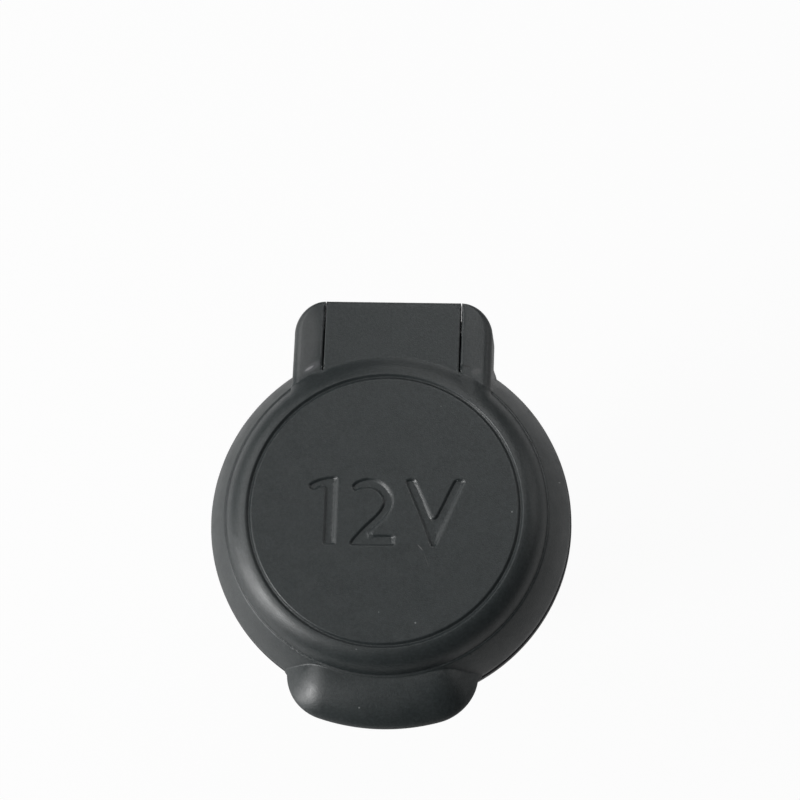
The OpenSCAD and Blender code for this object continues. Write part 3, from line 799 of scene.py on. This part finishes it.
def ranged(nodes, links, value, low, high, to_low, to_high):
    made = nodes.new("ShaderNodeMapRange")
    made.inputs["From Min"].default_value = low
    made.inputs["From Max"].default_value = high
    made.inputs["To Min"].default_value = to_low
    made.inputs["To Max"].default_value = to_high
    links.new(value, made.inputs["Value"])
    return made.outputs["Result"]


def between(nodes, links, factor, first, second):
    made = nodes.new("ShaderNodeMix")
    made.data_type = "RGBA"
    links.new(factor, made.inputs["Factor"])
    for socket, value in (("A", first), ("B", second)):
        target = [s for s in made.inputs if s.name == socket and s.type == "RGBA"][0]
        if isinstance(value, tuple):
            target.default_value = (*value, 1)
        else:
            links.new(value, target)
    return [s for s in made.outputs if s.type == "RGBA"][0]


def bump(nodes, links, height, strength, distance, under=None):
    made = nodes.new("ShaderNodeBump")
    made.inputs["Strength"].default_value = strength
    made.inputs["Distance"].default_value = distance
    links.new(height, made.inputs["Height"])
    if under is not None:
        links.new(under, made.inputs["Normal"])
    return made.outputs["Normal"]


def mark(nodes, links, point, middle, size, turn, strength):
    """An oval mask on the upper side, given in millimetres and degrees."""
    inside = nodes.new("ShaderNodeMapping")
    inside.vector_type = "TEXTURE"
    inside.inputs["Location"].default_value = (*middle, 7)
    inside.inputs["Rotation"].default_value = (0, 0, math.radians(turn))
    inside.inputs["Scale"].default_value = (size[0] / 2, size[1] / 2, 5)
    links.new(point, inside.inputs["Vector"])
    length = nodes.new("ShaderNodeVectorMath")
    length.operation = "LENGTH"
    links.new(inside.outputs["Vector"], length.inputs[0])
    return ranged(nodes, links, length.outputs["Value"], 0.55, 1, strength, 0)


def plastic(name, dark, light, rough, grain, specular=0.5, lint=None, wear_and_painted_light=(), speck=1.5):
    """Moulded plastic: cloudy colour, fine grain, uneven gloss, a little lint, and given oval marks of wear,
    painted highlight and painted shade.
    """
    made, nodes, links, shader = new_material(name)
    point = object_point(nodes, links)
    cloud = noise(nodes, links, point, 0.22, 5.0, 0.65)
    colour = between(nodes, links, ranged(nodes, links, cloud, 0.3, 0.7, 0, 1), dark, light)
    speckle = ranged(nodes, links, noise(nodes, links, point, 3.2, 5.0, 0.8), 0.36, 0.64, 0, 1)
    colour = between(nodes, links, speckle, colour, tuple(c * speck for c in light))
    if lint:
        cells = nodes.new("ShaderNodeTexVoronoi")
        cells.inputs["Scale"].default_value = 0.55
        links.new(point, cells.inputs["Vector"])
        near = ranged(nodes, links, cells.outputs["Distance"], 0.035, 0.06, 1, 0)
        pick = math_node(nodes, "GREATER_THAN", 0.85)
        split = nodes.new("ShaderNodeSeparateColor")
        links.new(cells.outputs["Color"], split.inputs["Color"])
        links.new(split.outputs["Red"], pick.inputs[0])
        both = math_node(nodes, "MULTIPLY")
        links.new(near, both.inputs[0])
        links.new(pick.outputs[0], both.inputs[1])
        colour = between(nodes, links, both.outputs[0], colour, lint)
    # Oval marks of wear, painted highlight and painted shade, laid over the colour
    for middle, size, turn, strength, tint in wear_and_painted_light:
        oval = mark(nodes, links, point, middle, size, turn, strength)
        colour = between(nodes, links, oval, colour, tint)
    links.new(colour, shader.inputs["Base Color"])
    gloss = noise(nodes, links, point, 0.6, 3.0)
    links.new(ranged(nodes, links, gloss, 0.3, 0.7, rough - 0.04, rough + 0.05), shader.inputs["Roughness"])
    shader.inputs["Specular IOR Level"].default_value = specular
    fine = noise(nodes, links, point, 7.0, 3.0)
    waves = noise(nodes, links, point, 0.9, 2.0)
    normal = bump(nodes, links, waves, 0.25, 0.00002)
    links.new(bump(nodes, links, fine, grain, 0.000018, normal), shader.inputs["Normal"])
    return made


def metal(name, dark, light, rough, scratch, stretch=(1, 1, 12)):
    """Plated or drawn metal with fine lines along its drawing direction."""
    made, nodes, links, shader = new_material(name)
    point = object_point(nodes, links)
    cloud = noise(nodes, links, point, 0.35, 5.0, 0.7)
    colour = between(nodes, links, ranged(nodes, links, cloud, 0.32, 0.68, 0, 1), dark, light)
    links.new(colour, shader.inputs["Base Color"])
    shader.inputs["Metallic"].default_value = 1.0
    mapping = nodes.new("ShaderNodeMapping")
    mapping.inputs["Scale"].default_value = tuple(1 / s for s in stretch)
    links.new(point, mapping.inputs["Vector"])
    lines = noise(nodes, links, mapping.outputs["Vector"], 9.0, 3.0)
    links.new(ranged(nodes, links, lines, 0.3, 0.7, rough - 0.07, rough + 0.08), shader.inputs["Roughness"])
    links.new(bump(nodes, links, lines, scratch, 0.00001), shader.inputs["Normal"])
    return made


# Scratches, a dust speck and haze, with painted highlights and painted shade on the cheeks: middle, length
# and width, turn, strength, colour
LID_WEAR_AND_PAINTED_LIGHT = [
    ((3.72, -3.72), (0.9, 0.16), -47, 0.6, (0.14, 0.14, 0.14)),
    ((4.37, -4.96), (2.0, 0.09), -69, 0.5, (0.08, 0.08, 0.08)),
    ((16.96, 3.91), (0.34, 0.2), 20, 0.9, (0.4, 0.4, 0.4)),
    # Painted highlight: a glint where the left cheek meets the dome, and a softer glow round it
    ((-8.2, 14.35), (1.2, 0.3), 33, 0.9, (0.3, 0.3, 0.31)),
    ((-7.9, 14.5), (2.4, 0.9), 33, 0.35, (0.12, 0.12, 0.13)),
    # Painted shade: a near-black spot in the notch where the right cheek meets the dome
    ((7.5, 14.84), (0.9, 0.22), -7, 0.9, (0.004, 0.004, 0.004)),
    # A faint lighter haze on the right cheek
    ((8.6, 14.34), (1.3, 0.8), 10, 0.3, (0.1, 0.1, 0.1)),
    # Painted light: the whole left cheek lighter, as if it faced the lamps
    ((-8.8, 17.4), (3.4, 8.5), 0, 0.4, (0.085, 0.087, 0.088)),
]
LID_PLASTIC = plastic(
    "lid_black_plastic", (0.0135, 0.0172, 0.018), (0.0195, 0.024, 0.0248), 0.39, 1.0, 0.62,
    (0.16, 0.17, 0.17), LID_WEAR_AND_PAINTED_LIGHT,
)
BEZEL_PLASTIC = plastic("bezel_black_plastic", (0.012, 0.012, 0.013), (0.018, 0.018, 0.02), 0.5, 0.4, 0.35)
CONNECTOR_PLASTIC = plastic(
    "natural_filled_plastic", (0.5, 0.47, 0.4), (0.6, 0.57, 0.5), 0.5, 0.5, speck=1.06,
)
PHENOLIC = plastic("brown_phenolic", (0.09, 0.035, 0.016), (0.16, 0.07, 0.03), 0.4, 0.5, speck=1.25)
NICKEL = metal("nickel_plate", (0.5, 0.485, 0.45), (0.6, 0.585, 0.55), 0.26, 0.15)
BRASS = metal("contact_brass", (0.62, 0.42, 0.15), (0.75, 0.54, 0.22), 0.3, 0.2, (1, 1, 1))
TIN = metal("tin_plate", (0.52, 0.52, 0.5), (0.64, 0.64, 0.62), 0.36, 0.25, (1, 1, 8))
ZINC = metal("zinc_plate", (0.42, 0.43, 0.44), (0.54, 0.55, 0.56), 0.38, 0.3, (1, 1, 1))
WIRE = metal("drawn_wire", (0.45, 0.45, 0.46), (0.56, 0.56, 0.57), 0.28, 0.25, (14, 1, 1))


def dress(obj, material):
    obj.data.materials.clear()
    obj.data.materials.append(material)


def place(obj, node, body, material):
    """Hands a finished piece over in place of its CAD node."""
    dress(obj, material)
    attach(obj, body)
    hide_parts(node)


# Bezel and barrel, as in the part's source

FLANGE_R = 18.2
FLANGE_T = 1.4
SLEEVE_R = 13.0
SLEEVE_IN_R = 11.4
SLEEVE_LEN = 24.0
SEAT_R = 12.45
COLLAR_R = 13.8
COLLAR_Z = 2.9
LUG_W = 19.2
LUG_REAR_Y = 19.6
KNUCKLE_W = 13.4
KNUCKLE_R = 1.75
HOOK_Z = -2.2
FINGER_ROOT_Z = -15.2
LATCH_Z = -16.0
BARREL_R = 10.5
BARREL_OUT_R = 11.2
LIP_R = 12.4
LIP_Z = 0.35
LIP_TOP_Z = 1.05
BORE_Z = -32.0
FOOT_R = 9.2
FLOOR_Z = -37.0
FLOOR_UNDER_Z = -37.7


def make_bezel():
    """Flange, collar, knuckle and the sleeve with its snap fingers, in one moulding."""
    bezel = lathe("panel_bezel", rounded([
        (SLEEVE_IN_R, -SLEEVE_LEN), (SLEEVE_R - 0.6, -SLEEVE_LEN), (SLEEVE_R, -SLEEVE_LEN + 1.2),
        (SLEEVE_R, 0), (FLANGE_R, 0), (FLANGE_R, FLANGE_T), (COLLAR_R, FLANGE_T),
        (COLLAR_R, COLLAR_Z), (SEAT_R, COLLAR_Z), (SEAT_R, 0.3), (SLEEVE_IN_R, 0.3),
    ], [0.2, 0.25, 0.4, 0.1, 0.12, 0.4, 0.25, 0.3, 0.3, 0.05, 0.12]))
    lug = rounded(rectangle((-LUG_W / 2, COLLAR_R), (LUG_W / 2, LUG_REAR_Y)), [0, 0, 0.9, 0.9])
    key = rounded(rectangle((-1.5, -14), (1.5, -12.3)), [0.3, 0.3, 0, 0])
    web = [(AXIS_Y - KNUCKLE_R, FLANGE_T - 0.2)]
    for degrees in np.linspace(180, -30.95, 28):
        turn = math.radians(degrees)
        web.append((AXIS_Y + KNUCKLE_R * math.cos(turn), AXIS_Z + KNUCKLE_R * math.sin(turn)))
    web.append((AXIS_Y + 0.9, AXIS_Z - 1.5))
    web.append((AXIS_Y + 0.9, FLANGE_T - 0.2))
    hooks = lathe("hooks", rounded([
        (SLEEVE_R - 0.4, HOOK_Z), (SLEEVE_R + 1.2, HOOK_Z), (SLEEVE_R + 1.2, HOOK_Z - 0.8),
        (SLEEVE_R - 0.4, HOOK_Z - 7.8),
    ], [0, 0.15, 0.4, 0]))
    combine(hooks, [box("finger_width", (-15, -3.5, -12), (15, 3.5, 0))], "INTERSECT")
    crush = soft_prism("crush_ribs", ring(0.4, 20, (SLEEVE_R - 0.22, 0)), -9.5, -0.6, edge=0.25)
    crush = copies_round(crush, 6, 30, BEZEL_PLASTIC)
    parts = [
        soft_prism("lug", lug, 0, FLANGE_T, edge=0.3),
        soft_prism("key", key, -10, -0.2, edge=0.25),
        soft_prism("knuckle", web, -KNUCKLE_W / 2, KNUCKLE_W / 2, "x", 0.15),
        hooks,
    ]
    add(bezel, *parts)
    add(bezel, crush)
    slot = [
        (-4.4, FINGER_ROOT_Z), (-3.5, FINGER_ROOT_Z), (-3.5, HOOK_Z), (3.5, HOOK_Z),
        (3.5, FINGER_ROOT_Z), (4.4, FINGER_ROOT_Z), (4.4, HOOK_Z + 0.9), (-4.4, HOOK_Z + 0.9),
    ]
    slot = rounded(slot, [0.44, 0.44, 0.05, 0.05, 0.44, 0.44, 0.4, 0.4])
    window = rounded(rectangle((-3.1, LATCH_Z - 4.2), (3.1, LATCH_Z)), 0.4)
    gaps = []
    for low, high in ((9, 15), (-15, -9)):
        gaps.append(prism("finger_slot", slot, low, high, "x"))
        gaps.append(prism("latch_window", window, low, high, "y"))
    cut(bezel, *gaps, bar("pin_bore", PIN_R + HOLE_ROOM, -8, 8, AXIS_Y, AXIS_Z))
    place(bezel, "bezel", "socket", BEZEL_PLASTIC)


def make_barrel():
    """The drawn cup with its lip, rounded mouth, narrower foot and two spring tongues."""
    barrel = lathe("barrel", rounded([
        (0, FLOOR_Z), (FOOT_R, FLOOR_Z), (FOOT_R, -33.3), (BARREL_R, BORE_Z), (BARREL_R, LIP_TOP_Z),
        (LIP_R, LIP_TOP_Z), (LIP_R, LIP_Z), (BARREL_OUT_R, LIP_Z), (BARREL_OUT_R, BORE_Z - 0.35),
        (FOOT_R + 0.7, -33.65), (FOOT_R + 0.7, FLOOR_UNDER_Z), (0, FLOOR_UNDER_Z),
    ], [0, 0.5, 0.5, 0.6, 1.0, 0.2, 0.2, 0.12, 0.6, 0.5, 0.6, 0], 6))
    window = rounded(rectangle((-3.1, LATCH_Z - 3.8), (3.1, LATCH_Z + 0.4)), 0.35)
    gaps = [prism("tongue_gap", window, low, high, "y") for low, high in ((8, 14), (-14, -8))]
    gaps.append(prism("boss_hole", ring(INSULATOR_BOSS_R + HOLE_ROOM, 96), -39, -36))
    gaps.append(prism("ground_hole", ring(GROUND_RIVET_R + HOLE_ROOM, 64, (-GROUND_X, 0)), -39, -36))
    cut(barrel, *gaps)
    slope = math.radians(15)
    tongues = []
    for side in (1, -1):
        outline = []
        for out, along in ((0, -0.25), (0.7, -0.25), (0.7, 3.4), (0, 3.4)):
            y = BARREL_R + out * math.cos(slope) + along * math.sin(slope)
            outline.append((side * y, LATCH_Z - 3.8 + along * math.cos(slope) - out * math.sin(slope)))
        outline = rounded(outline, [0, 0, 0.12, 0.12])
        tongues.append(soft_prism("spring_tongue", outline, -2.7, 2.7, "x", 0.1))
    add(barrel, *tongues)
    place(barrel, "socket_barrel", "socket", NICKEL)


# Contacts and terminals

GROUND_HEAD_R = 1.996
GROUND_RIVET_R = 1.198
GROUND_X = 7.104
INSULATOR_R = 4.607
INSULATOR_BOSS_R = 2.995
INSULATOR_Z = -36.2
CONTACT_R = 4.107
CONTACT_Z = -35.8
BUTTON_R = 2.875
RIVET_R = 1.561
RIVET_HEAD_R = 2.382
# Share of the head's radius, and height above its seat
RIVET_HEAD = ((0, 0.8), (0.35, 0.78), (0.7, 0.66), (0.93, 0.42), (1, 0.14), (1, 0))
BASE_Z = -40.1
FOOT_Z = -40.9
TIP_Z = -51.0
BLADE_X = 4.207
BLADE_W = 6.3
BLADE_T = 0.8


def make_contact():
    insulator = lathe("insulator", rounded([
        (RIVET_R + HOLE_ROOM, INSULATOR_Z), (INSULATOR_R, INSULATOR_Z), (INSULATOR_R, FLOOR_Z),
        (INSULATOR_BOSS_R, FLOOR_Z), (INSULATOR_BOSS_R, FLOOR_UNDER_Z), (RIVET_R + HOLE_ROOM, FLOOR_UNDER_Z),
    ], [0.08, 0.2, 0.05, 0.05, 0.12, 0.05]), 192)
    place(insulator, "inner_insulator", "socket", PHENOLIC)
    washer = rectangle((RIVET_R + HOLE_ROOM, INSULATOR_Z), (CONTACT_R, CONTACT_Z))
    contact = lathe("tip_contact", rounded(washer, 0.08), 192)
    button = rounded(rectangle((0.78, -33.8), (BUTTON_R, -33.4)), [0.1, 0.12, 0.12, 0.1])
    button = lathe("button", button, 192)
    leg = rounded([
        (CONTACT_R, INSULATOR_Z), (CONTACT_R, CONTACT_Z), (BUTTON_R, -33.45), (2.3, -33.45),
        (3.507, CONTACT_Z - 0.01), (3.507, INSULATOR_Z),
    ], [0.05, 0.3, 0.1, 0.1, 0.25, 0.05])
    leg = soft_prism("legs", leg, -0.8, 0.8, "y", 0.06)
    add(contact, button, copies_round(leg, 3, 90, BRASS))
    place(contact, "centre_contact", "socket", BRASS)


def rivet(name, radius, head_r, top_z, middle_x=0.0):
    """A rivet with domed heads, from above the barrel's floor to below the terminals."""
    outline = [(head_r * share, top_z + rise) for share, rise in RIVET_HEAD]
    outline += [(radius, top_z), (radius, FOOT_Z)]
    outline += [(head_r * share, FOOT_Z - rise) for share, rise in RIVET_HEAD[::-1]]
    made = lathe(name, outline, 96, 50)
    for vertex in made.data.vertices:
        vertex.co.x += middle_x * MM
    return made


def make_connector():
    low_x, high_x, half_y = -9.2, 6.607, 4.3
    base = rounded(rectangle((0, BASE_Z), (9.9, FLOOR_UNDER_Z)), [0, 0.35, 0.2, 0])
    body = lathe("connector", base)
    wall = 1.2
    outer = rectangle((low_x - wall, -half_y - wall), (high_x + wall, half_y + wall))
    outer = rounded(outer, 1.1)
    inner = rounded(rectangle((low_x, -half_y), (high_x, half_y)), 0.5)
    nose = [(4.5, -49.775), (5.5, -49.775), (6.7, -47.855), (6.7, -46.895), (4.5, -46.895)]
    nose = rounded(nose, [0, 0.1, 0.3, 0.2, 0])
    add(
        body,
        soft_prism("shroud", outer, -53, FLOOR_UNDER_Z, edge=0.25),
        soft_prism("latch_nose", nose, -3.272, 0.68, "x", 0.15),
    )
    cut(
        body,
        loft("cavity", [
            (shrunk(inner, -0.6), -53.3), (shrunk(inner, -0.3), -53), (inner, -52.6), (inner, BASE_Z),
        ]),
        prism("rivet_hole", ring(RIVET_R + HOLE_ROOM, 64), -41, -37),
        prism("ground_hole", ring(GROUND_RIVET_R + HOLE_ROOM, 64, (-GROUND_X, 0)), -41, -37),
    )
    place(body, "connector_body", "socket", CONNECTOR_PLASTIC)


def make_terminal(name, node, foot_x, blade_x, rivet_x, hole_r):
    """A blade bent down from a foot under the connector's base."""
    low, high = blade_x - BLADE_T / 2, blade_x + BLADE_T / 2
    bent = rounded([
        (foot_x, BASE_Z), (foot_x, FOOT_Z), (low, FOOT_Z), (low, TIP_Z + 0.5), (low + 0.22, TIP_Z),
        (high - 0.22, TIP_Z), (high, TIP_Z + 0.5), (high, BASE_Z),
    ], [0.1, 0.1, 0.25, 0.1, 0.05, 0.05, 0.1, 0.9])
    half = BLADE_W / 2
    face = rounded([
        (-half, BASE_Z + 1), (-half, TIP_Z + 1.26), (-half + 0.63, TIP_Z), (half - 0.63, TIP_Z),
        (half, TIP_Z + 1.26), (half, BASE_Z + 1),
    ], [0, 0.5, 0.25, 0.25, 0.5, 0])
    terminal = soft_prism(name, bent, -half, half, "y", 0.08)
    combine(terminal, [prism("face", face, -12, 12, "x")], "INTERSECT")
    cut(
        terminal,
        prism("rivet_hole", ring(hole_r + HOLE_ROOM, 64, (rivet_x, 0)), -42, -39),
        prism("blade_hole", ring(0.85, 48, (0, TIP_Z + half)), blade_x - 1, blade_x + 1, "x"),
    )
    place(terminal, node, "socket", TIN)


lid = make_lid()
place(lid, "lid", "lid", LID_PLASTIC)
pin = soft_prism("steel_pin", ring(PIN_R, 64, (AXIS_Y, AXIS_Z)), -9.8, 8.8, "x", 0.2)
place(pin, "hinge_pin", "lid", WIRE)
make_bezel()
make_barrel()
make_contact()
middle_rivet = rivet("middle_rivet", RIVET_R, RIVET_HEAD_R, CONTACT_Z)
place(middle_rivet, "centre_rivet", "socket", BRASS)
earth_rivet = rivet("earth_rivet", GROUND_RIVET_R, GROUND_HEAD_R, FLOOR_Z, -GROUND_X)
place(earth_rivet, "ground_rivet", "socket", ZINC)
make_connector()
make_terminal("live_blade", "positive_terminal", -RIVET_HEAD_R - 0.3, BLADE_X, 0, RIVET_R)
make_terminal("earth_blade", "negative_terminal", -9.2, -BLADE_X, -GROUND_X, GROUND_RIVET_R)


# Stage

FLOOR_HALF = 1500
FLOOR_LEVEL = -53.2
LID_MIDDLE = (0, 0, 4)
LAMP_DISTANCE = 420
# Name, direction from the lid, width in millimetres and power in watts
LAMPS = [
    ("left_lamp", (-0.730, 0.284, 0.616), 300, 0.5),
    ("bright_left_lamp", (-0.753, -0.398, 0.530), 95, 0.86),
    ("low_left_lamp", (-0.939, -0.322, 0.139), 200, 0.61),
    ("high_left_lamp", (-0.479, -0.232, 0.848), 240, 0.22),
    ("high_rear_lamp", (0.222, 0.485, 0.848), 240, 0.38),
    ("low_rear_lamp", (0.111, 0.936, 0.342), 230, 0.19),
    ("low_right_lamp", (0.880, 0.337, 0.342), 230, 0.18),
]
CAMERA_LENS = 90.368
CAMERA_DISTANCE = 200
CAMERA_AIM = (0.75, 12.03, 4)
# Azimuth, elevation and roll in degrees
CAMERA_TURNS = (27.89, 77.92, -19.33)


def make_floor():
    corners = rectangle((-FLOOR_HALF, -FLOOR_HALF), (FLOOR_HALF, FLOOR_HALF))
    floor = mesh_object("floor", [(x, y, FLOOR_LEVEL) for x, y in corners], [(0, 1, 2, 3)])
    made, nodes, links, shader = new_material("pale_floor")
    shader.inputs["Base Color"].default_value = (0.66, 0.66, 0.66, 1)
    shader.inputs["Roughness"].default_value = 0.9
    white = nodes.new("ShaderNodeEmission")
    white.inputs["Strength"].default_value = 1.0
    path = nodes.new("ShaderNodeLightPath")
    share = math_node(nodes, "MULTIPLY_ADD", 0.1)
    links.new(path.outputs["Is Glossy Ray"], share.inputs[0])
    whole = math_node(nodes, "MULTIPLY", 0.95)
    links.new(path.outputs["Is Camera Ray"], whole.inputs[0])
    links.new(whole.outputs[0], share.inputs[2])
    mixed = nodes.new("ShaderNodeMixShader")
    links.new(share.outputs[0], mixed.inputs["Fac"])
    links.new(shader.outputs[0], mixed.inputs[1])
    links.new(white.outputs[0], mixed.inputs[2])
    links.new(mixed.outputs[0], nodes["Material Output"].inputs["Surface"])
    dress(floor, made)


def make_world():
    world = bpy.data.worlds.new("studio")
    bpy.context.scene.world = world
    world.use_nodes = True
    nodes = world.node_tree.nodes
    links = world.node_tree.links
    glow = nodes["Background"]
    glow.inputs["Color"].default_value = (1, 1, 1, 1)
    path = nodes.new("ShaderNodeLightPath")
    level = nodes.new("ShaderNodeMapRange")
    level.inputs["To Min"].default_value = 0.03
    level.inputs["To Max"].default_value = 1.0
    links.new(path.outputs["Is Camera Ray"], level.inputs["Value"])
    links.new(level.outputs["Result"], glow.inputs["Strength"])


def make_lamp(name, direction, size, power):
    """A square soft lamp that faces the lid from a direction."""
    lamp = bpy.data.lights.new(name, "AREA")
    lamp.shape = "SQUARE"
    lamp.size = size * MM
    lamp.energy = power
    obj = bpy.data.objects.new(name, lamp)
    bpy.context.collection.objects.link(obj)
    way = Vector(direction).normalized()
    obj.location = (way * LAMP_DISTANCE + Vector(LID_MIDDLE)) * MM
    obj.rotation_mode = "QUATERNION"
    obj.rotation_quaternion = way.to_track_quat("Z", "Y")


def make_camera():
    """The photograph's view: above the lid and a little to its lower right."""
    camera = bpy.data.cameras.new("camera")
    camera.lens = CAMERA_LENS
    obj = bpy.data.objects.new("camera", camera)
    bpy.context.collection.objects.link(obj)
    azimuth, elevation, roll = (math.radians(v) for v in CAMERA_TURNS)
    flat = math.cos(elevation)
    back = Vector((math.sin(azimuth) * flat, -math.cos(azimuth) * flat, math.sin(elevation)))
    spot = Vector(LID_MIDDLE) + back * CAMERA_DISTANCE
    ahead = (Vector(CAMERA_AIM) - spot).normalized()
    right = ahead.cross(Vector((0, 0, 1))).normalized()
    up = right.cross(ahead)
    turned_right = right * math.cos(roll) + up * math.sin(roll)
    turned_up = up * math.cos(roll) - right * math.sin(roll)
    obj.rotation_mode = "QUATERNION"
    basis = Matrix((turned_right, turned_up, -ahead))
    obj.rotation_quaternion = basis.transposed().to_quaternion()
    obj.location = spot * MM
    camera.clip_start = 0.01
    camera.clip_end = 10
    bpy.context.scene.camera = obj


make_floor()
make_world()
for lamp in LAMPS:
    make_lamp(*lamp)
make_camera()
bpy.context.scene.view_settings.view_transform = "Standard"
